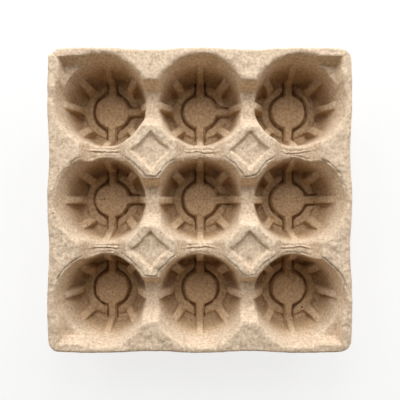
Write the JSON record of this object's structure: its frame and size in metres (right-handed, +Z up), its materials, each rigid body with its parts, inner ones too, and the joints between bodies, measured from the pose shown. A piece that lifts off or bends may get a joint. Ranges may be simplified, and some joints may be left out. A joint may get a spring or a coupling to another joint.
{
  "type": "drink carrier tray",
  "caption": "Moulded pulp drink carrier tray with a square grid of ribbed cup pockets, low saddles between them and a turned-down rim.",
  "frame": {"origin": "middle of the footprint, on the surface that the pocket floors stand on", "axes": "+Z up out of the pockets, +X and +Y along the rim; the clipped corner is at -X, +Y"},
  "size_m": [0.3072, 0.3056, 0.067],
  "materials": {
    "moulded_pulp": "matt, fibrous"
  },
  "bodies": {
    "root": {"pulp_tray": "moulded_pulp"}
  },
  "joints": []
}
